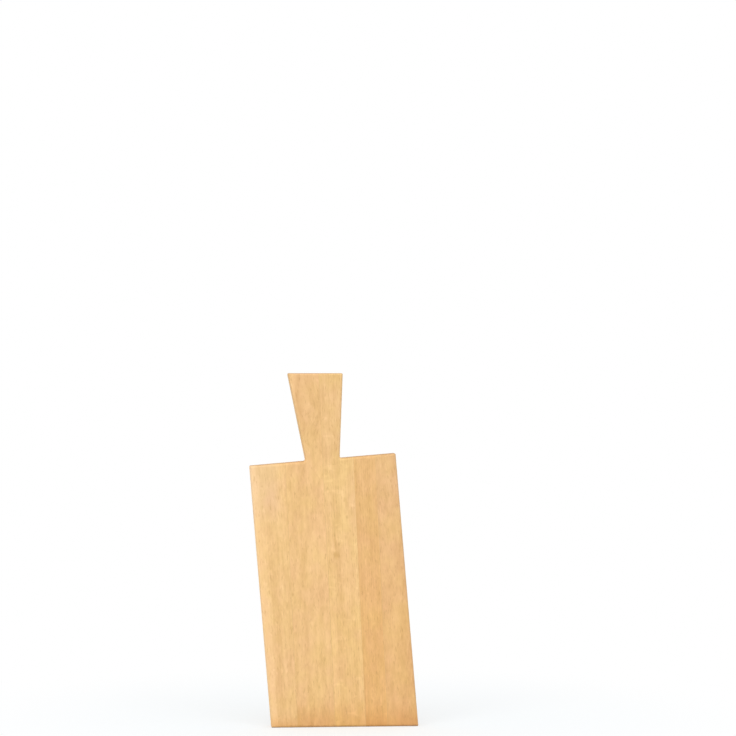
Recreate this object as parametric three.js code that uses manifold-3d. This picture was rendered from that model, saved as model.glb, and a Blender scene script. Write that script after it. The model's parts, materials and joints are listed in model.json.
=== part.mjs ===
// An oak cutting board with a handle, edge-glued from full-length staves.
//
// Millimetres, +Z up. The board stands upright on its foot, with the origin in the middle of the foot.
// +X points to the right of someone who faces the board, and the front face looks along -Y.
// Both ends are sawn askew to the body, so the standing board leans to its left in its own plane.

import * as THREE from "three";
import { mergeVertices } from "three/addons/utils/BufferGeometryUtils.js";
import Module from "manifold-3d";

// Body and handle
const BODY_WIDTH = 150; // square across the body, from side to side
const BODY_LENGTH = 274; // along the middle line, from the foot to the shoulders
const THICKNESS = 18; // from the front face to the back face
const HANDLE_LENGTH = 88.5; // along the middle line, from the shoulders to the end of the handle
const NECK_WIDTH = 35; // the handle where it leaves the shoulders
const HANDLE_FLARE = 6.9; // degrees that each side of the handle opens from the middle line
const LEAN = 4.8; // degrees between the middle line and the upright, the skew of both sawn ends

// Edges and corners
const EDGE_RADIUS = 3; // round-over along every edge of both faces
const CORNER_RADIUS = 1.5; // outside corners, as seen from the front
const NECK_FILLET = 2; // inside corners between the shoulders and the handle

// Glue-up
const GRAIN_LEAN = 2.7; // degrees between the staves and the upright
const HANDLE_STAVE_MARGIN = 6.5; // wood that a handle stave has beside the widest point of the handle
const RIGHT_INNER_STAVE_WIDTH = 22.5; // the stave between the right handle stave and the right stave
const GLUE_LINE = 0.15; // cured glue between two staves
const GLUE_CLEARANCE = 0.02; // between the glue and the wood on either side of it

// Facets
const EDGE_STEPS = 8; // flats in each round-over
const CORNER_STEPS = 3; // pairs of flats in each rounded corner

const wasm = await Module();
wasm.setup();

const lean = THREE.MathUtils.degToRad(LEAN);
const grainLean = THREE.MathUtils.degToRad(GRAIN_LEAN);
const skew = Math.tan(lean);

// A point on the board's face: how far it is along the middle line, and how far to the right of it.
function facePoint(along, right) {
  const x = right * Math.cos(lean) - along * Math.sin(lean);
  const z = right * Math.sin(lean) + along * Math.cos(lean);
  return new THREE.Vector2(x, z);
}

// The outline's corners on one side of the middle line: -1 is the left side, 1 the right side.
function cornersOf(side) {
  const edge = (side * BODY_WIDTH) / 2;
  const neck = (side * NECK_WIDTH) / 2;
  const flare = side * Math.tan(THREE.MathUtils.degToRad(HANDLE_FLARE));
  const reach = (HANDLE_LENGTH - neck * skew) / (1 + flare * skew);
  return {
    foot: facePoint(-edge * skew, edge),
    shoulder: facePoint(BODY_LENGTH, edge),
    neck: facePoint(BODY_LENGTH, neck),
    end: facePoint(BODY_LENGTH + reach, neck + reach * flare),
  };
}

const left = cornersOf(-1);
const right = cornersOf(1);

// The outline of the board, with its outside corners rounded to a radius, or sharp at a radius of 0.
function boardOutline(outsideRadius) {
  return roundedOutline([
    { at: left.foot, radius: outsideRadius },
    { at: right.foot, radius: outsideRadius },
    { at: right.shoulder, radius: outsideRadius },
    { at: right.neck, radius: NECK_FILLET },
    { at: right.end, radius: outsideRadius },
    { at: left.end, radius: outsideRadius },
    { at: left.neck, radius: NECK_FILLET },
    { at: left.shoulder, radius: outsideRadius },
  ]);
}

// A closed outline through corners, each one rounded by an arc that meets both of its straights.
function roundedOutline(corners) {
  const outline = new THREE.Shape();
  corners.forEach(({ at, radius }, i) => {
    if (radius === 0) {
      if (i === 0) outline.moveTo(at.x, at.y);
      else outline.lineTo(at.x, at.y);
      return;
    }
    const back = corners.at(i - 1).at.clone().sub(at).normalize();
    const ahead = corners[(i + 1) % corners.length].at.clone().sub(at).normalize();
    const halfAngle = Math.acos(back.dot(ahead)) / 2;
    const centre = back.clone().add(ahead).setLength(radius / Math.sin(halfAngle)).add(at);
    const setback = radius / Math.tan(halfAngle);
    const start = back.clone().multiplyScalar(setback).add(at).sub(centre).angle();
    const end = ahead.clone().multiplyScalar(setback).add(at).sub(centre).angle();
    const clockwise = ahead.cross(back) < 0;
    outline.absarc(centre.x, centre.y, radius, start, end, clockwise);
  });
  return outline;
}

// A closed three.js geometry as a solid that can be cut.
function solidOf(geometry) {
  const bare = geometry.clone();
  bare.deleteAttribute("normal");
  bare.deleteAttribute("uv");
  const merged = mergeVertices(bare);
  const vertProperties = Float32Array.from(merged.attributes.position.array);
  const triVerts = Uint32Array.from(merged.index.array);
  return new wasm.Manifold(new wasm.Mesh({ numProp: 3, vertProperties, triVerts }));
}

// An outline set upright and given a depth, half of it in front of the middle of the thickness.
function uprightExtrusion(outline, depth, bevel) {
  const geometry = new THREE.ExtrudeGeometry(outline, { depth, curveSegments: CORNER_STEPS, ...bevel });
  geometry.rotateX(Math.PI / 2);
  geometry.translate(0, depth / 2, 0);
  return solidOf(geometry);
}

// The whole board: its edges rounded over along both faces, then its outside corners softened.
function wholeBoard() {
  const roundOver = {
    bevelThickness: EDGE_RADIUS,
    bevelSize: EDGE_RADIUS,
    bevelOffset: -EDGE_RADIUS,
    bevelSegments: EDGE_STEPS,
  };
  const routed = uprightExtrusion(boardOutline(0), THICKNESS - 2 * EDGE_RADIUS, roundOver);
  const softened = uprightExtrusion(boardOutline(CORNER_RADIUS), 2 * THICKNESS, { bevelEnabled: false });
  return routed.intersect(softened);
}

// How far a point of the face lies to the right of the grain that runs through the origin.
function acrossGrain(point) {
  return point.x * Math.cos(grainLean) + point.y * Math.sin(grainLean);
}

const board = wholeBoard();
const boardReach = BODY_WIDTH + BODY_LENGTH + HANDLE_LENGTH; // more than the board reaches any way

// What the board has between two lines along the grain, each given by its place across the grain.
function stripOfBoard(from, to) {
  const slab = new THREE.BoxGeometry(to - from, 2 * THICKNESS, 2 * boardReach);
  slab.translate((from + to) / 2, 0, 0);
  slab.rotateY(-grainLean);
  return board.intersect(solidOf(slab));
}

// The seams from left to right. The middle one runs through the middle of the neck, and its
// neighbours leave the handle staves wide enough for the whole flare of the handle.
const middleSeam = acrossGrain(facePoint(BODY_LENGTH, 0));
const leftSeam = acrossGrain(left.end) - HANDLE_STAVE_MARGIN;
const rightInnerSeam = acrossGrain(right.end) + HANDLE_STAVE_MARGIN;
const rightSeam = rightInnerSeam + RIGHT_INNER_STAVE_WIDTH;
const seamHalf = GLUE_LINE / 2 + GLUE_CLEARANCE;

const staves = [
  { name: "left_stave", from: -boardReach, to: leftSeam, color: 0xf1c791 },
  { name: "left_handle_stave", from: leftSeam, to: middleSeam, color: 0xefc48a },
  { name: "right_handle_stave", from: middleSeam, to: rightInnerSeam, color: 0xf1c78b },
  { name: "right_inner_stave", from: rightInnerSeam, to: rightSeam, color: 0xecbc7e },
  { name: "right_stave", from: rightSeam, to: boardReach, color: 0xeabc82 },
];

const glueLines = [
  { name: "left_glue_line", at: leftSeam },
  { name: "middle_glue_line", at: middleSeam },
  { name: "right_inner_glue_line", at: rightInnerSeam },
  { name: "right_glue_line", at: rightSeam },
];

// A solid as a named mesh.
function meshOf(name, solid, material) {
  const { vertProperties, triVerts } = solid.getMesh();
  const geometry = new THREE.BufferGeometry();
  geometry.setAttribute("position", new THREE.BufferAttribute(vertProperties, 3));
  geometry.setIndex(new THREE.BufferAttribute(triVerts, 1));
  geometry.computeVertexNormals();
  const mesh = new THREE.Mesh(geometry, material);
  mesh.name = name;
  return mesh;
}

const cuttingBoard = new THREE.Group();

for (const { name, from, to, color } of staves) {
  const oiledOak = new THREE.MeshStandardMaterial({ color, roughness: 0.6, metalness: 0 });
  cuttingBoard.add(meshOf(name, stripOfBoard(from + seamHalf, to - seamHalf), oiledOak));
}

for (const { name, at } of glueLines) {
  const curedGlue = new THREE.MeshStandardMaterial({ color: 0xdab176, roughness: 0.5, metalness: 0 });
  cuttingBoard.add(meshOf(name, stripOfBoard(at - GLUE_LINE / 2, at + GLUE_LINE / 2), curedGlue));
}

export default cuttingBoard;
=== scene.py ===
# %% [markdown]
# # An oak cutting board with a handle
# The board is a panel of five oak staves, glued edge to edge, sawn to its outline and rounded over. Its
# solids come packed in a frame, in metres, and nothing here moves or resizes them. This lesson gives them
# clean meshes, wood that runs right through them, a studio and a camera.

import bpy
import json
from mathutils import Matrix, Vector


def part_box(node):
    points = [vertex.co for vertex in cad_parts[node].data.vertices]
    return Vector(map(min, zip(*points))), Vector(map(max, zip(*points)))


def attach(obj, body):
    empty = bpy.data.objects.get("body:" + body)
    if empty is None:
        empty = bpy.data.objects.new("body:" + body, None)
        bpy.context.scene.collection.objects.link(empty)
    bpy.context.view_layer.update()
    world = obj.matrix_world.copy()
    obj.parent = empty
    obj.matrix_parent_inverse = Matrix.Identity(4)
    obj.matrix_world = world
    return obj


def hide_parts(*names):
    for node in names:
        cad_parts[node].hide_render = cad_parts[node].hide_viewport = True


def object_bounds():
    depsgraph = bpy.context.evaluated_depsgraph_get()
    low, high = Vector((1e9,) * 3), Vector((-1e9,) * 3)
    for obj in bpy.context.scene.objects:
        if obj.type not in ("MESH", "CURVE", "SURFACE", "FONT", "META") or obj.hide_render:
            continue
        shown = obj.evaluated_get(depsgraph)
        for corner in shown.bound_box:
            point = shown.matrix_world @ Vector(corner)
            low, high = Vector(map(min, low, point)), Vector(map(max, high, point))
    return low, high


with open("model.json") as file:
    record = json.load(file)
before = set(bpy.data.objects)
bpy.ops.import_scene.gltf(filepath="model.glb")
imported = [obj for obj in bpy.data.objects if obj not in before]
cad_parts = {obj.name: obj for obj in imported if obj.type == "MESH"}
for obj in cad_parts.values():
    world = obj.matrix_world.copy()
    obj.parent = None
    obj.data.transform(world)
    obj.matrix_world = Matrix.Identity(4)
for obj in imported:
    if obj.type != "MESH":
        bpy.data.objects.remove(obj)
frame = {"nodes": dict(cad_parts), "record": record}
cad_low, cad_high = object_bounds()
print("solids:", sorted(frame["nodes"]))
print("box of the solids, m:", tuple(cad_low), tuple(cad_high))

# %% [markdown]
# ## The camera
# The photograph looks level at the board, from a little to its left. A level camera keeps upright edges
# upright, so it isn't tilted down at the board: it stays at the height of the picture's middle row, and the
# board sits low in the picture. One pixel is worked out from the board's height in the picture, and the lens
# follows from the distance. A long distance with a long lens gives the flat perspective of a product picture.

# %% Camera
import math

import bpy
from mathutils import Vector

IMAGE_SIZE = 736  # pixels along each side of the picture
FOOT_MIDDLE_PIXEL = (345.2, 727.2)  # how far the middle of the foot is from the picture's top left corner
BOARD_HEIGHT_PIXELS = 354.0  # from the foot to the end of the handle
CAMERA_DISTANCE = 2.3
CAMERA_TURN = math.radians(-4.1)  # round the board, towards its left side
SENSOR_WIDTH_MM = 36.0
MM_PER_M = 1000.0

pixel = (cad_high.z - cad_low.z) / BOARD_HEIGHT_PIXELS
camera_back = Vector((math.sin(CAMERA_TURN), -math.cos(CAMERA_TURN), 0))
camera_right = Vector((math.cos(CAMERA_TURN), math.sin(CAMERA_TURN), 0))
columns_to_middle = IMAGE_SIZE / 2 - FOOT_MIDDLE_PIXEL[0]
rows_to_middle = FOOT_MIDDLE_PIXEL[1] - IMAGE_SIZE / 2

camera_data = bpy.data.cameras.new("camera")
camera_data.sensor_width = SENSOR_WIDTH_MM
camera_data.lens = SENSOR_WIDTH_MM * CAMERA_DISTANCE / (pixel * IMAGE_SIZE)
camera = bpy.data.objects.new("camera", camera_data)
bpy.context.scene.collection.objects.link(camera)
camera.location = Vector((0, cad_low.y, 0)) + camera_back * CAMERA_DISTANCE
camera.location += camera_right * columns_to_middle * pixel + Vector((0, 0, rows_to_middle * pixel))
camera.rotation_mode = "QUATERNION"
camera.rotation_quaternion = (-camera_back).to_track_quat("-Z", "Y")
bpy.context.scene.camera = camera
bpy.context.scene.view_settings.view_transform = "Standard"
print(f"one pixel is {pixel * MM_PER_M:.3f} mm, and the lens {camera_data.lens:.0f} mm")
print(f"the camera is {camera.location.z:.3f} m up")

# %% [markdown]
# ## Shader maths as Python
# A wood shader is mostly arithmetic. It could be drawn by hand in the shader editor, but arithmetic is hard
# to read as boxes and lines. So a small class wraps an output socket, and Python's operators on it add the
# Math nodes.

# %% Wires


class Wire:
    """An output socket. Operators on it add Math nodes to its tree."""

    def __init__(self, bench, socket):
        self.bench = bench
        self.socket = socket

    def math(self, operation, *values):
        sockets = dict(enumerate(values))
        return self.bench.node("ShaderNodeMath", {"operation": operation}, sockets)[0]

    def __add__(self, other):
        return self.math("ADD", self, other)

    def __sub__(self, other):
        return self.math("SUBTRACT", self, other)

    def __rsub__(self, other):
        return self.math("SUBTRACT", other, self)

    def __mul__(self, other):
        return self.math("MULTIPLY", self, other)

    def __truediv__(self, other):
        return self.math("DIVIDE", self, other)

    def __rtruediv__(self, other):
        return self.math("DIVIDE", other, self)

    def __abs__(self):
        return self.math("ABSOLUTE", self)

    __radd__ = __add__
    __rmul__ = __mul__

    def fraction(self):
        return self.math("FRACT", self)

    def larger(self, other):
        return self.math("MAXIMUM", self, other)

    def turn(self, sideways):
        """The turn, in radians, of a point that lies this far up and that far sideways."""
        return self.math("ARCTAN2", self, sideways)

    def rise(self, start, end):
        """0 before start, 1 after end, and a smooth rise between them."""
        settings = {"interpolation_type": "SMOOTHSTEP"}
        sockets = {"Value": self, "From Min": start, "From Max": end}
        return self.bench.node("ShaderNodeMapRange", settings, sockets)["Result"]


print("operators on a wire:", [name for name in vars(Wire) if name.startswith("__") and name != "__init__"])

# %% [markdown]
# Every other node comes from one method, which takes the node's type, its settings and its sockets. Settings
# come first, because some of them change which sockets a node has. The few nodes that a wood shader needs
# again and again get a shorter name each. A tint multiplies a colour instead of replacing it, so the figure
# that is there already still shows through.

# %% The bench where nodes are made
# A Mix node keeps sockets for every type of value, so those of its colours go by number.
MIX_SHARE, MIX_FIRST, MIX_SECOND = 0, 6, 7
MIXED = 2


class Bench:
    """A node tree, and the one method that adds nodes to it."""

    def __init__(self, tree):
        self.tree = tree
        tree.nodes.clear()

    def node(self, kind, settings=None, sockets=None):
        """Add a node. Gives its outputs, by name and by number."""
        made = self.tree.nodes.new(kind)
        for name, value in (settings or {}).items():
            setattr(made, name, value)
        for name, value in (sockets or {}).items():
            if isinstance(value, Wire):
                self.tree.links.new(value.socket, made.inputs[name])
            else:
                made.inputs[name].default_value = value
        outputs = {socket.name: Wire(self, socket) for socket in made.outputs}
        return outputs | {i: Wire(self, socket) for i, socket in enumerate(made.outputs)}

    def vector(self, x, y, z):
        return self.node("ShaderNodeCombineXYZ", None, {"X": x, "Y": y, "Z": z})["Vector"]

    def dot(self, first, second):
        sockets = {0: first, 1: second}
        return self.node("ShaderNodeVectorMath", {"operation": "DOT_PRODUCT"}, sockets)["Value"]

    def length(self, vector):
        return self.node("ShaderNodeVectorMath", {"operation": "LENGTH"}, {0: vector})["Value"]

    def parts(self, colour):
        made = self.node("ShaderNodeSeparateColor", None, {"Color": colour})
        return made["Red"], made["Green"], made["Blue"]

    def noise(self, vector, detail):
        return self.node("ShaderNodeTexNoise", None, {"Vector": vector, "Scale": 1.0, "Detail": detail})

    def mix(self, share, first, second):
        """A colour that goes from the first to the second as the share goes from 0 to 1."""
        sockets = {MIX_SHARE: share, MIX_FIRST: (*first, 1.0), MIX_SECOND: (*second, 1.0)}
        return self.node("ShaderNodeMix", {"data_type": "RGBA"}, sockets)[MIXED]

    def tint(self, share, colour, factors):
        """A colour that is multiplied by factors as the share goes from 0 to 1."""
        settings = {"data_type": "RGBA", "blend_type": "MULTIPLY"}
        sockets = {MIX_SHARE: share, MIX_FIRST: colour, MIX_SECOND: (*factors, 1.0)}
        return self.node("ShaderNodeMix", settings, sockets)[MIXED]


print("short names:", [name for name in vars(Bench) if not name.startswith("_")])

# %% [markdown]
# A finish is a material with a node tree of its own. Both finishes here, oak and glue, end in the same way:
# a Principled shader gets a colour and a roughness that vary, and a bump that gives the surface a real depth.

# %% Finishes


def new_finish(name):
    """A new material and the bench of its node tree."""
    material = bpy.data.materials.new(name)
    material.use_nodes = True
    return material, Bench(material.node_tree)


def close_finish(bench, colour, roughness, height, relief):
    """End a finish in a Principled shader. The relief is the depth, in metres, of one unit of height."""
    sockets = {"Strength": 1.0, "Distance": relief, "Height": height}
    bump = bench.node("ShaderNodeBump", None, sockets)["Normal"]
    sockets = {"Base Color": colour, "Roughness": roughness, "Normal": bump}
    shader = bench.node("ShaderNodeBsdfPrincipled", None, sockets)["BSDF"]
    bench.node("ShaderNodeOutputMaterial", None, {"Surface": shader})


def times(colour, factors):
    """A colour multiplied by factors, worked out here because both are plain numbers."""
    return [part * factor for part, factor in zip(colour, factors)]


slot_of = {part["node"]: part["material_slot"] for part in frame["record"]["subparts"]}
# the mean colours carry painted shade: lighter on the left of the board and darker on its right
slot_colour = {material["slot"]: material["base_color"] for material in frame["record"]["materials"]}
print("mean colours:", slot_colour)

# %% [markdown]
# ## Which way the grain runs
# The staves don't run along the sides of the board: they lean less than the sides do. The lean could be typed
# in as a number, but that number would be wrong as soon as the solids change. So it is read from the middle
# glue line, which runs the whole height of the board between two staves.

# %% Grain direction
from statistics import fmean

LEVEL = 1e-6  # points this close in height count as level, in metres

film = [vertex.co for vertex in frame["nodes"]["middle_glue_line"].data.vertices]
film_foot = min(point.z for point in film)
film_end = max(point.z for point in film)
drift = fmean(point.x for point in film if point.z < film_foot + LEVEL)
drift -= fmean(point.x for point in film if point.z > film_end - LEVEL)
grain_lean = math.atan(drift / (film_end - film_foot))
along_grain = Vector((-math.sin(grain_lean), 0, math.cos(grain_lean)))
across_grain = Vector((math.cos(grain_lean), 0, math.sin(grain_lean)))


def reach_across(node):
    """Where a solid starts and ends across the grain, in metres."""
    places = [vertex.co.dot(across_grain) for vertex in frame["nodes"][node].data.vertices]
    return min(places), max(places)


print(f"the grain leans {math.degrees(grain_lean):.2f} degrees")

# %% [markdown]
# ## A place in the log
# A picture of wood wrapped round a board never matches at the edges. Real wood is solid: growth rings are
# rough cylinders round the heart of the tree, and every face of a stave is a cut through them. So the
# shader asks where a point lies in the log that its stave was sawn from: across the grain, through the
# thickness, along the grain, and how far from the heart. A tree never grows straight, so the heart leans a
# little and the rings sway. Where a branch stood close by, as above the shoulders here, the grain curls.

# %% Place in the log
from collections import namedtuple

NOISE_MIDDLE = 0.5  # noise goes from 0 to 1
SWAY = 3.2  # mm that the rings sway from side to side
SWAY_ACROSS = 26  # mm between one sway and the next
SWAY_ALONG = 95
SWAY_DETAIL = 2.0
CURL_ACROSS = 13  # mm between one curl and the next
CURL_ALONG = 21
CURL_DETAIL = 0.5
CURL_FROM = (272, 300)  # mm along the grain where it starts to curl and where it curls fully

# Lengths are in mm. The heart's place and its lean are given across the grain and through the thickness.
# Ring is the width of a year, the foot's shade height how far painted shade reaches up from the foot, drift
# the share by which the wood turns from warm to cool on its way up, curl how far its grain curls to the side,
# and sapwood the radius where the pale wood starts.
Log = namedtuple("Log", "heart lean ring soak seed drift curl sapwood marks", defaults=(0.0, 0.0, None, ()))
Place = namedtuple("Place", "across through along height radius turn")


def curl_at(bench, log, across, through, along):
    """How far the grain curls to the side at a point, in mm."""
    tight = bench.vector(across / CURL_ACROSS, through / CURL_ACROSS, along / CURL_ALONG + log.seed)
    curl = (bench.noise(tight, CURL_DETAIL)["Fac"] - NOISE_MIDDLE) * log.curl
    return curl * along.rise(*CURL_FROM)


def place_in_log(bench, node, log):
    """Where a point is in the log of its stave, in mm, and its turn round the heart in radians."""
    point = bench.node("ShaderNodeTexCoord")["Object"]
    across = bench.dot(point, across_grain * MM_PER_M) - fmean(reach_across(node)) * MM_PER_M
    along = bench.dot(point, along_grain * MM_PER_M)
    through = bench.dot(point, (0, MM_PER_M, 0))
    height = bench.dot(point, (0, 0, MM_PER_M))
    if log.curl:
        across = across + curl_at(bench, log, across, through, along)
    slow = bench.vector(across / SWAY_ACROSS + log.seed, through / SWAY_ACROSS, along / SWAY_ALONG)
    sway_across, sway_through, _ = bench.parts(bench.noise(slow, SWAY_DETAIL)["Color"])
    from_heart = across - log.heart[0] - along * log.lean[0] + (sway_across - NOISE_MIDDLE) * SWAY
    above_heart = through - log.heart[1] - along * log.lean[1] + (sway_through - NOISE_MIDDLE) * SWAY
    radius = bench.length(bench.vector(from_heart, above_heart, 0))
    return Place(across, through, along, height, radius, above_heart.turn(from_heart))


print(f"rings sway by up to {SWAY / 2} mm each way, and the grain curls from {CURL_FROM[0]} mm up")

# %% [markdown]
# ## Figure
# Between its rings wood is never even. Fibres, short strokes, long streaks and soft clouds all make it paler
# or deeper. One noise with many layers could do it all, but then no size could be set apart from the others.
# So each is one noise texture that is stretched along the grain by its own sizes. Their swings are added up,
# and the sum says how deep the tone is.

# %% Figure
Figure = namedtuple("Figure", "across through along strength detail", defaults=(2.0,))  # sizes in mm

FIBRE = Figure(0.3, 0.3, 40, 0.3)
DASH = Figure(1.9, 2.0, 6, 1.1)
STROKE = Figure(5.0, 5.0, 14, 1.4)
STREAK = Figure(6.0, 7.0, 420, 1.3, detail=1.0)
CLOUD = Figure(34, 34, 60, 0.7)
EARLY_STRENGTH = 0.15
EARLY_MEAN = 0.3  # how much of a year is early wood


def swing(bench, place, log, figure):
    """A figure at a point, from minus to plus half its strength."""
    along = place.along / figure.along + log.seed
    lumps = bench.vector(place.across / figure.across, place.through / figure.through, along)
    return (bench.noise(lumps, figure.detail)["Fac"] - NOISE_MIDDLE) * figure.strength


def tone_swing(bench, place, log, early):
    """Below 0 for the pale wood of a stave and above 0 for its deep wood."""
    tone = (early - EARLY_MEAN) * EARLY_STRENGTH
    for figure in (DASH, STROKE, STREAK, CLOUD):
        tone = tone + swing(bench, place, log, figure)
    return tone


print("figure, mm across the grain:", [figure.across for figure in (FIBRE, DASH, STROKE, STREAK, CLOUD)])

# %% [markdown]
# ## Year rings
# Each year an oak first grows a porous band and then a dense one. A Wave texture has rings too, but they are
# all alike. Here a ring is the fraction of the radius counted in years, and a noise makes years uneven.

# %% Rings
RING_UNEVEN = 1.6  # years that a ring comes early or late
RING_UNEVEN_OVER = 7  # mm outwards from one such change to the next
RING_DETAIL = 1.0
EARLY_COMES = (0.0, 0.1)  # parts of a year in which the porous band comes, and those in which it goes
EARLY_GOES = (0.16, 0.62)


def early_wood(bench, place, log):
    """1 in the porous band that starts each year, 0 in the dense wood after it."""
    outwards = bench.vector(place.radius / RING_UNEVEN_OVER, log.seed, 0)
    uneven = bench.noise(outwards, RING_DETAIL)["Fac"] * RING_UNEVEN
    growth = (place.radius / log.ring + uneven).fraction()
    return growth.rise(*EARLY_COMES) * (1 - growth.rise(*EARLY_GOES))


print(f"the porous band takes up to {EARLY_GOES[1]:.0%} of a year")

# %% [markdown]
# ## Pores
# The pores of the early band are tubes, a third of a millimetre wide and many millimetres long: fine dark
# dashes on a face, dots on end grain. They are the cells of a Voronoi texture that is stretched along the
# grain, and a cell is open or filled by chance, with more open ones in early wood. Here and there they crowd
# together into a dark stroke. That figure is cut off below a level, so only its few highest spots are left.

# %% Pores
PORE_WIDTH = 0.42  # mm from one pore to the next
PORE_LENGTH = 7.5
PORE_RADIUS = 0.24  # in pore widths, and how much more a large pore has
PORE_RADIUS_MORE = 0.2
PORE_WALL = 0.16
OPEN_IN_LATE_WOOD = 0.1  # the share of open pores, and how many more early wood and crowds have
OPEN_MORE_IN_EARLY = 0.7
OPEN_MORE_IN_CROWD = 0.8
OPENING = (-0.02, 0.05)
CROWD = Figure(2.6, 3.0, 9, 1.0)
CROWD_EDGE = (0.09, 0.22)


def crowded_share(bench, place, log):
    """Up to 1 in the few strokes where pores crowd together."""
    return swing(bench, place, log, CROWD).rise(*CROWD_EDGE)


def open_pores(bench, place, log, early, crowded):
    """1 inside the pores that are open."""
    along = place.along / PORE_LENGTH + log.seed
    cell = bench.vector(place.across / PORE_WIDTH, place.through / PORE_WIDTH, along)
    tube = bench.node("ShaderNodeTexVoronoi", None, {"Vector": cell, "Scale": 1.0})
    chance, size, _ = bench.parts(tube["Color"])
    inside = (PORE_RADIUS + size * PORE_RADIUS_MORE - tube["Distance"]).rise(0.0, PORE_WALL)
    open_share = OPEN_IN_LATE_WOOD + early * OPEN_MORE_IN_EARLY + crowded * OPEN_MORE_IN_CROWD
    return inside * (open_share - chance).rise(*OPENING)


print(f"pores {PORE_WIDTH} mm apart and {PORE_LENGTH} mm long")

# %% [markdown]
# ## Rays
# Rays are thin upright sheets that run outwards from the heart. Where a face lies along them they show as
# pale, silky flecks, and on end grain as fine lines. Flecks could be drawn on the face alone, but then the
# ends would lack them. The noise behind them is narrow in the turn round the heart and long outwards, so the
# same sheet comes out right on every face.

# %% Rays
RAY_WIDTH = 0.9  # mm
RAY_REACH = 16  # mm outwards
RAY_HEIGHT = 6.5  # mm along the grain
RAY_DETAIL = 1.5
RAY_EDGE = (0.60, 0.68)


def ray_flecks(bench, place, log):
    """1 in the rays."""
    girth = math.hypot(*log.heart)
    along = place.along / RAY_HEIGHT + log.seed
    sheet = bench.vector(place.turn * (girth / RAY_WIDTH), place.radius / RAY_REACH, along)
    return bench.noise(sheet, RAY_DETAIL)["Fac"].rise(*RAY_EDGE)


print(f"rays {RAY_HEIGHT} mm tall")

# %% [markdown]
# ## Warm patches and sapwood
# Some patches of a stave are golden and others rosy, and some logs turn from warm to cool on their way up.
# The outermost wood of a trunk, the sapwood, is a calm pale strip with a ragged edge, and near the shoulder
# a band of wood inside it is paler and creamier as well. Sapwood is a matter of the radius, so it needs no
# mask of its own: it follows the rings.

# %% Patches and sapwood
WARM_PATCH = Figure(17, 17, 26, 1.0)
WARM_EDGE = (-0.25, 0.25)
WARM_TO_COOL = (60, 275)  # mm along the grain between the warm and the cool end of a log
SAPWOOD_RAGGED = Figure(6, 18, 40, 6.0)  # its strength is in mm
SAPWOOD_EDGE = (-3.0, 3.0)
CREAMY_BAND_WIDTH = 18  # mm of creamy wood inside the sapwood
CREAMY_BAND_EDGE = (-5.0, 5.0)
CREAMY_BAND_ABOVE = (195, 245)  # mm along the grain where it comes in


def rosy_share(bench, place, log):
    """0 in golden patches and 1 in rosy ones."""
    return swing(bench, place, log, WARM_PATCH).rise(*WARM_EDGE)


def warm_and_cool(place, log):
    """How far a point is in the warm low wood of its log, and how far in the cool wood higher up."""
    cool = place.along.rise(*WARM_TO_COOL) * log.drift
    return log.drift - cool, cool


def sapwood_shares(bench, place, log):
    """How far a point is sapwood, and how far it is in the creamy band inside it."""
    inside = place.radius + swing(bench, place, log, SAPWOOD_RAGGED) - log.sapwood
    creamy_band = (inside + CREAMY_BAND_WIDTH).rise(*CREAMY_BAND_EDGE) * place.along.rise(*CREAMY_BAND_ABOVE)
    return inside.rise(*SAPWOOD_EDGE), creamy_band


print(f"patches {WARM_PATCH.across} mm wide, sapwood ragged by {SAPWOOD_RAGGED.strength / 2} mm")

# %% [markdown]
# ## Mineral marks
# Minerals that a tree has drawn up leave small brown marks. Noise would scatter them anywhere, and they are
# few enough to be placed one by one: each is a soft spot or line in the front of one stave, and wavers.

# %% Marks
MARK_WAVER = Figure(3, 9, 5, 2.0)
MARK_DEPTH = 4  # mm that a mark reaches in from the front face
MARK_EDGE = (0.2, 1.3)

Mark = namedtuple("Mark", "across along half_width half_length strength")


def mark_share(bench, place, log):
    """Up to 1 in the mineral marks of a stave."""
    share = 0.0
    across = place.across + swing(bench, place, log, MARK_WAVER)
    depth = (place.through - cad_low.y * MM_PER_M) / MARK_DEPTH
    for mark in log.marks:
        sideways = (across - mark.across) / mark.half_width
        lengthways = (place.along - mark.along) / mark.half_length
        off = bench.length(bench.vector(sideways, lengthways, depth))
        share = share + (1 - off.rise(*MARK_EDGE)) * mark.strength
    return share


print(f"marks reach {MARK_DEPTH} mm into the wood")

# %% [markdown]
# ## Foot, handle, ends and edges
# A board shows how it is made and used. The pores of the end grain drink oil, so the sawn ends are deeper.
# The foot is painted deeper and browner, a painted shade where the board stands on the floor, and the handle
# is painted a shade darker, a painted shade towards the top of the board. Hands rub the rounded edges pale
# and smooth. Such marks could be painted by hand, but worked out from the height and from the way the surface
# faces, they stay right on every side.

# %% Foot, handle, ends and edges
FOOT_RAGGED = Figure(5, 8, 400, 14.0)  # its strength is in mm
HANDLE_BELOW = 16  # mm below and above the higher shoulder where the painted shade on the handle starts
HANDLE_ABOVE = 12
END_FACING = (0.7, 0.98)
RUBBED = Figure(9, 9, 14, 1.0)
RUBBED_EDGE = (-0.2, 0.1)
HUMP_TOP = 0.25  # what flat * (1 - flat) comes to halfway round an edge

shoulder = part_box("right_stave")[1].z * MM_PER_M


def painted_foot_shade(bench, place, log):
    """1 at the foot and 0 above the painted shade that rises from it."""
    return 1 - (place.height + swing(bench, place, log, FOOT_RAGGED)).rise(0.0, log.soak)


def painted_handle_shade(place):
    """1 on the handle, where hands hold the board and painted shade darkens the wood."""
    return place.height.rise(shoulder - HANDLE_BELOW, shoulder + HANDLE_ABOVE)


def end_grain_share(bench):
    """1 where the surface is sawn across the grain, 0 where it lies along it."""
    facing = bench.node("ShaderNodeTexCoord")["Normal"]
    return abs(bench.dot(facing, along_grain)).rise(*END_FACING)


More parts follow.
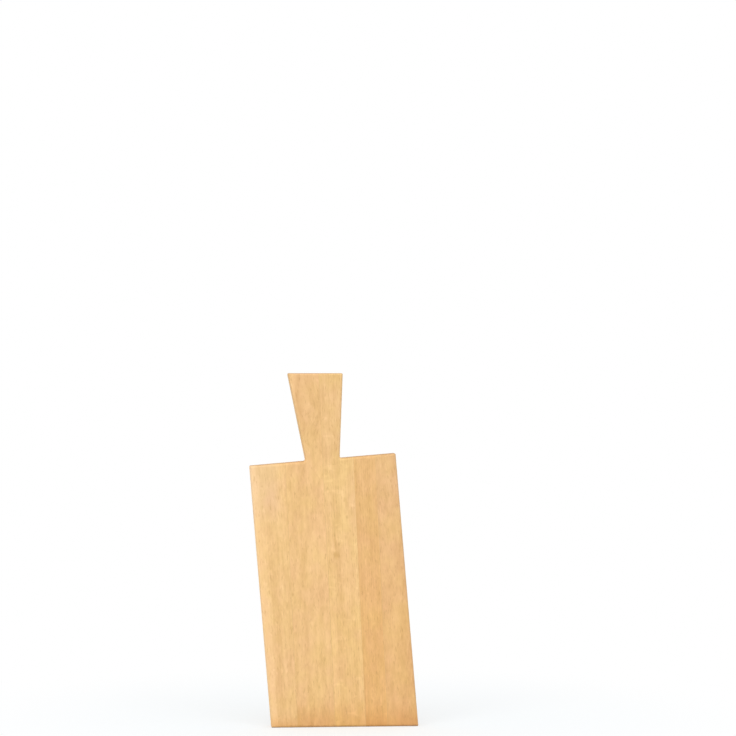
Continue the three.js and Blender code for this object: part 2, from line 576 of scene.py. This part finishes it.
def rubbed_share(bench, place, log):
    """Up to 1 along the rounded edges, in patches."""
    facing = bench.node("ShaderNodeTexCoord")["Normal"]
    flat = abs(bench.dot(facing, (0, 1, 0)))
    rounded = flat * (1 - flat) / HUMP_TOP
    return rounded * swing(bench, place, log, RUBBED).rise(*RUBBED_EDGE)


print(f"the higher shoulder is {shoulder:.0f} mm up")

# %% [markdown]
# ## The colours of oak
# A stave's mean colour comes from the packed record. The means differ as the logs do, and they also carry
# painted shade: the staves are lighter on the left of the board and darker on its right, as the light falls.
# Everything else is a tint, a factor for red, green and blue, so that one set of tints suits five staves.
# Plain colours would need a set for each.

# %% Tints
UNDER_OIL = (0.985, 0.965, 0.90)  # the sheen of the oil adds a little white, so the wood under it is deeper
HEART = (1.0, 0.998, 0.95)  # heartwood, in a stave whose mean takes in sapwood
PALE = (1.065, 1.11, 1.09)
DEEP = (0.915, 0.903, 0.80)
ROSY = (1.01, 0.97, 1.094)
WARM = (1.011, 1.0, 0.979)
COOL = (0.981, 1.0, 1.042)
CREAMY_BAND = (0.996, 1.024, 1.16)
SAP = (1.095, 1.12, 1.195)
FLECK = (1.05, 1.07, 1.10)
CROWDED = (0.90, 0.87, 0.81)
PORE = (0.86, 0.81, 0.76)
MARK = (0.86, 0.81, 0.66)
# painted shade at the foot, where the board stands on the floor
FOOT_SHADE = (0.90, 0.80, 0.66)
# painted shade on the handle, a shade darker towards the top of the board
HANDLE_SHADE = (0.972, 0.967, 0.962)
END = (0.80, 0.73, 0.64)
RUBBED_PALE = (1.015, 1.025, 1.045)
print("deep wood is", ", ".join(f"{deep / pale:.0%}" for pale, deep in zip(PALE, DEEP)), "of pale wood")

# %% [markdown]
# ## Oiled oak
# All of it meets in one finish. Pale and deep wood lie on either side of a stave's mean colour, and then come
# the tints, each times the colour that is there. Pores are dark, rough and a few hundredths of a millimetre
# deep, flecks are pale and smoother, and the oil leaves a satin surface.

# %% Oak
EVEN_TONE = 0.5  # halfway between pale and deep wood
SAPWOOD_CALM = 0.6  # how much of the figure is missing in sapwood and the creamy band
SATIN = 0.52  # roughness of the oiled wood, and what adds to it or takes from it
PORE_ROUGHER = 0.25
FIBRE_ROUGHER = 0.3
END_ROUGHER = 0.12
FLECK_SMOOTHER = 0.1
RUBBED_SMOOTHER = 0.1
EARLY_DIP = 0.2  # how deep early wood lies, in parts of a pore's depth
RELIEF = 0.00006  # metres


def oiled_oak(node, log):
    """The wood of one stave."""
    material, bench = new_finish(f"oiled_oak_of_{node}")
    mean = times(slot_colour[slot_of[node]], UNDER_OIL)
    place = place_in_log(bench, node, log)
    early = early_wood(bench, place, log)
    crowded = crowded_share(bench, place, log)
    pore = open_pores(bench, place, log, early, crowded)
    fleck = ray_flecks(bench, place, log)
    fibre = swing(bench, place, log, FIBRE)
    tone = tone_swing(bench, place, log, early) + fibre
    end_grain = end_grain_share(bench)
    rubbed = rubbed_share(bench, place, log)

    tints = [(rosy_share(bench, place, log), ROSY)]
    if log.drift:
        tints += zip(warm_and_cool(place, log), (WARM, COOL))
    if log.sapwood:
        mean = times(mean, HEART)
        sapwood, creamy_band = sapwood_shares(bench, place, log)
        tone = tone * (1 - sapwood.larger(creamy_band) * SAPWOOD_CALM)
        tints += [(creamy_band, CREAMY_BAND), (sapwood, SAP)]
    tints += [(fleck, FLECK), (crowded, CROWDED), (pore, PORE)]
    if log.marks:
        tints += [(mark_share(bench, place, log), MARK)]
    # painted shade: deeper at the foot, and a shade darker on the handle
    tints += [(painted_foot_shade(bench, place, log), FOOT_SHADE), (painted_handle_shade(place), HANDLE_SHADE)]
    tints += [(end_grain, END), (rubbed, RUBBED_PALE)]

    wood = bench.mix(EVEN_TONE + tone, times(mean, PALE), times(mean, DEEP))
    for share, factors in tints:
        wood = bench.tint(share, wood, factors)
    roughness = SATIN + pore * PORE_ROUGHER + fibre * FIBRE_ROUGHER + end_grain * END_ROUGHER
    roughness = roughness - fleck * FLECK_SMOOTHER - rubbed * RUBBED_SMOOTHER
    close_finish(bench, wood, roughness, fibre - pore - early * EARLY_DIP, RELIEF)
    return material


print(f"pores are {RELIEF * MM_PER_M} mm deep")

# %% [markdown]
# ## Five staves from five logs
# A glue-up mixes boards from different trees, and that, with the painted shade in their mean colours, is what
# makes the staves tell apart. One wood for the whole board would run on across the seams. The heart's place
# decides the figure: a heart far off to the side gives straight lines and flecks, one below the face gives
# arches. Only the left stave reaches the sapwood, along the outer edge of the board, only the right handle
# stave has mineral marks, and only the two handle staves reach up to where the grain curls.

# %% Logs
MARKS = [Mark(-6.2, 175.6, 4.0, 4.4, 0.9), Mark(-6.8, 189.0, 1.5, 11.0, 0.75)]

logs = {
    "left_stave": Log((70, 14), (-0.036, 0.01), ring=2.9, soak=16, seed=3.1, sapwood=75.0),
    "left_handle_stave": Log((9, 46), (0.01, 0.035), ring=2.7, soak=34, seed=39.9, curl=12),
    "right_handle_stave": Log(
        (84, -6), (-0.006, 0.01), ring=2.5, soak=36, seed=75.6, drift=0.5, curl=6, marks=MARKS
    ),
    "right_inner_stave": Log((-52, -40), (0.01, 0.012), ring=2.1, soak=32, seed=65.5, drift=1.0),
    "right_stave": Log((-14, 58), (0.012, -0.03), ring=2.4, soak=30, seed=81.7, drift=1.0),
}
for node in logs:
    start, end = reach_across(node)
    print(f"{node}: {(end - start) * MM_PER_M:.1f} mm wide")

# %% [markdown]
# ## The staves as clean meshes
# The packed solids are bare triangles. A stave could be modelled anew, but then it could drift from its
# solid, so it is remade from it: the triangles' doubled points are welded, flat neighbours are dissolved into
# single faces, and the mesh is shaded smooth with its real edges kept sharp. Weighted normals keep the big
# flats flat, and bend the shading only round the rounded edges.

# %% Staves
import bmesh

WELD_DISTANCE = 2e-6
FLAT_ANGLE = math.radians(0.4)
SHARP_ANGLE = math.radians(32)
LARGE_FACES_LEAD = 100  # the most that a Weighted Normal modifier can favour large faces


def clean_piece(node, name, material):
    """A welded, smooth-shaded piece in place of a packed solid."""
    mesh = bpy.data.meshes.new(name)
    work = bmesh.new()
    work.from_mesh(frame["nodes"][node].data)
    bmesh.ops.remove_doubles(work, verts=work.verts, dist=WELD_DISTANCE)
    bmesh.ops.dissolve_limit(work, angle_limit=FLAT_ANGLE, verts=work.verts, edges=work.edges)
    work.to_mesh(mesh)
    work.free()
    mesh.shade_smooth()
    mesh.set_sharp_from_angle(angle=SHARP_ANGLE)
    mesh.materials.append(material)
    piece = bpy.data.objects.new(name, mesh)
    bpy.context.scene.collection.objects.link(piece)
    normals = piece.modifiers.new("flat flats", "WEIGHTED_NORMAL")
    normals.weight = LARGE_FACES_LEAD
    normals.keep_sharp = True
    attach(piece, "root")
    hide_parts(node)
    return piece


for node, log in logs.items():
    stave = clean_piece(node, f"oak_{node}", oiled_oak(node, log))
    print(f"{stave.name}: {len(stave.data.polygons)} faces")

# %% [markdown]
# ## The glue
# Cured wood glue shows as a hair-fine amber line between two staves, a little darker than the wood. A plain
# colour would do for so fine a line from afar, but close by glue is patchy, so a noise makes it paler and
# duller where it is thin.

# %% Glue
GLUE_PATCHES = 90.0  # to the metre
GLUE_DETAIL = 3.0
THIN_GLUE = (1.1, 1.12, 1.15)  # this and the next are times the glue's mean colour
THICK_GLUE = (0.88, 0.85, 0.8)
GLUE_SHINE = 0.42  # roughness of thick glue, and how much more thin glue has
THIN_ROUGHER = 0.2
GLUE_RELIEF = 0.00002  # metres


def cured_glue():
    """Amber glue, paler where it is thin."""
    material, bench = new_finish("cured_glue")
    mean = slot_colour["glue"]
    point = bench.node("ShaderNodeTexCoord")["Object"]
    sockets = {"Vector": point, "Scale": GLUE_PATCHES, "Detail": GLUE_DETAIL}
    thin = bench.node("ShaderNodeTexNoise", None, sockets)["Fac"]
    amber = bench.mix(thin, times(mean, THICK_GLUE), times(mean, THIN_GLUE))
    close_finish(bench, amber, GLUE_SHINE + thin * THIN_ROUGHER, thin, GLUE_RELIEF)
    return material


glue = cured_glue()
print("finish of the glue:", glue.name)

# %% [markdown]
# ## The glue lines
# The packed films keep a hair of clearance to the staves, and that would show as a black line. Real glue wets
# the wood on both sides, so each film is spread until it touches them. It is spread level, so that its ends
# stay level with the wood.

# %% Glue lines


def spread_to_wood(piece, node):
    """Spread a glue film until it touches the staves on both sides. Gives the gap on its left."""
    start, end = reach_across(node)
    staves = [reach_across(stave) for stave in logs]
    wood_left = max(stave_end for _, stave_end in staves if stave_end < end)
    wood_right = min(stave_start for stave_start, _ in staves if stave_start > start)
    for vertex in piece.data.vertices:
        place = vertex.co.dot(across_grain)
        touch = wood_left if place < (start + end) / 2 else wood_right
        vertex.co.x += (touch - place) / across_grain.x
    return start - wood_left


for node in [name for name in frame["nodes"] if name.endswith("glue_line")]:
    line = clean_piece(node, f"cured_{node}", glue)
    gap = spread_to_wood(line, node)
    print(f"{line.name}: {len(line.data.polygons)} faces, spread by {gap * MM_PER_M:.3f} mm on each side")

# %% [markdown]
# ## The studio
# The picture is a product shot on white: soft light from the front and both sides, gentle light from all
# round, and a floor that is as white as the background. A floor that is only lit turns grey, and one that
# only glows shows no shadow. So the floor does both: about half of what the camera sees there is a steady
# white, and the rest is lit like paper, so that a shadow darkens it. The paper is a touch cool, because the
# warm wood glows on it, and far from the board it fades into plain white.

# %% Floor paper
STEADY_WHITE = 0.55
PAPER = (0.430, 0.455, 0.468, 1.0)
BOUNCE = 0.36
SHADOW_REACH = (0.12, 0.5)  # metres from the board where the shadow starts to fade and where it is gone


def grey(level):
    return (level, level, level, 1.0)


def seen_directly(bench):
    """1 for what the camera sees, itself or in a reflection, and 0 for light on its way."""
    path = bench.node("ShaderNodeLightPath")
    return path["Is Camera Ray"].larger(path["Is Glossy Ray"]).larger(path["Is Transmission Ray"])


def floor_paper():
    """Paper that looks white, takes a shadow near the board and gives little light back."""
    material, bench = new_finish("floor_paper")
    fade = bench.length(bench.node("ShaderNodeTexCoord")["Object"]).rise(*SHADOW_REACH)
    white = bench.node("ShaderNodeEmission", None, {"Color": grey(1.0), "Strength": 1.0})["Emission"]
    glow = bench.node("ShaderNodeEmission", None, {"Color": grey(1.0), "Strength": STEADY_WHITE})["Emission"]
    lit = bench.node("ShaderNodeBsdfDiffuse", None, {"Color": PAPER})["BSDF"]
    near = bench.node("ShaderNodeAddShader", None, {0: glow, 1: lit})["Shader"]
    shown = bench.node("ShaderNodeMixShader", None, {0: fade, 1: near, 2: white})["Shader"]
    bounce = bench.node("ShaderNodeBsdfDiffuse", None, {"Color": grey(BOUNCE)})["BSDF"]
    both = bench.node("ShaderNodeMixShader", None, {0: seen_directly(bench), 1: bounce, 2: shown})["Shader"]
    bench.node("ShaderNodeOutputMaterial", None, {"Surface": both})
    return material


paper = floor_paper()
print("finish of the floor:", paper.name)

# %% [markdown]
# The floor is one large square. It is part of the stage and not of the board.

# %% Floor
FLOOR_SIZE = 24.0

half = FLOOR_SIZE / 2
corners = [(-half, -half, 0), (half, -half, 0), (half, half, 0), (-half, half, 0)]
floor_mesh = bpy.data.meshes.new("floor")
floor_mesh.from_pydata(corners, [], [(0, 1, 2, 3)])
floor_mesh.materials.append(paper)
floor = bpy.data.objects.new("floor", floor_mesh)
bpy.context.scene.collection.objects.link(floor)
print(f"floor {FLOOR_SIZE} m wide")

# %% [markdown]
# The room around the board is white where it is seen, and a softer white where it only gives light. So the
# background is pure white without more light on the board.

# %% Room
SOFT_LIGHT = 0.80

world = bpy.data.worlds.new("white_room")
world.use_nodes = True
bpy.context.scene.world = world
room = Bench(world.node_tree)
soft = room.node("ShaderNodeBackground", None, {"Color": grey(1.0), "Strength": SOFT_LIGHT})["Background"]
white = room.node("ShaderNodeBackground", None, {"Color": grey(1.0), "Strength": 1.0})["Background"]
shown = room.node("ShaderNodeMixShader", None, {0: seen_directly(room), 1: soft, 2: white})["Shader"]
room.node("ShaderNodeOutputWorld", None, {"Surface": shown})
print(f"soft light {SOFT_LIGHT}")

# %% [markdown]
# The lamps are square area lights, because a large lamp gives soft edges to light and shade. The key stands
# to the front and left. The fill, a little over half as strong, stands to the front and right, so that both
# sides of the board read apart from its face. A weak lamp high above draws a fine light line along the
# shoulders.

# %% Lamps
SoftBox = namedtuple("SoftBox", "place size watts")  # places and sizes in metres

soft_boxes = {
    "key": SoftBox((-2.7, -2.9, 0.5), size=2.0, watts=70),
    "fill": SoftBox((2.2, -2.8, 0.45), size=1.8, watts=39),
    "top": SoftBox((-0.3, -0.9, 3.4), size=1.4, watts=9),
}
board_middle = (cad_low + cad_high) / 2

for name, box in soft_boxes.items():
    light = bpy.data.lights.new(name, "AREA")
    light.size = box.size
    light.energy = box.watts
    lamp = bpy.data.objects.new(name, light)
    bpy.context.scene.collection.objects.link(lamp)
    lamp.location = box.place
    lamp.rotation_mode = "QUATERNION"
    lamp.rotation_quaternion = (board_middle - lamp.location).to_track_quat("-Z", "Y")
    print(f"{name}: {(board_middle - lamp.location).length:.1f} m from the board")

# %% Import
import json
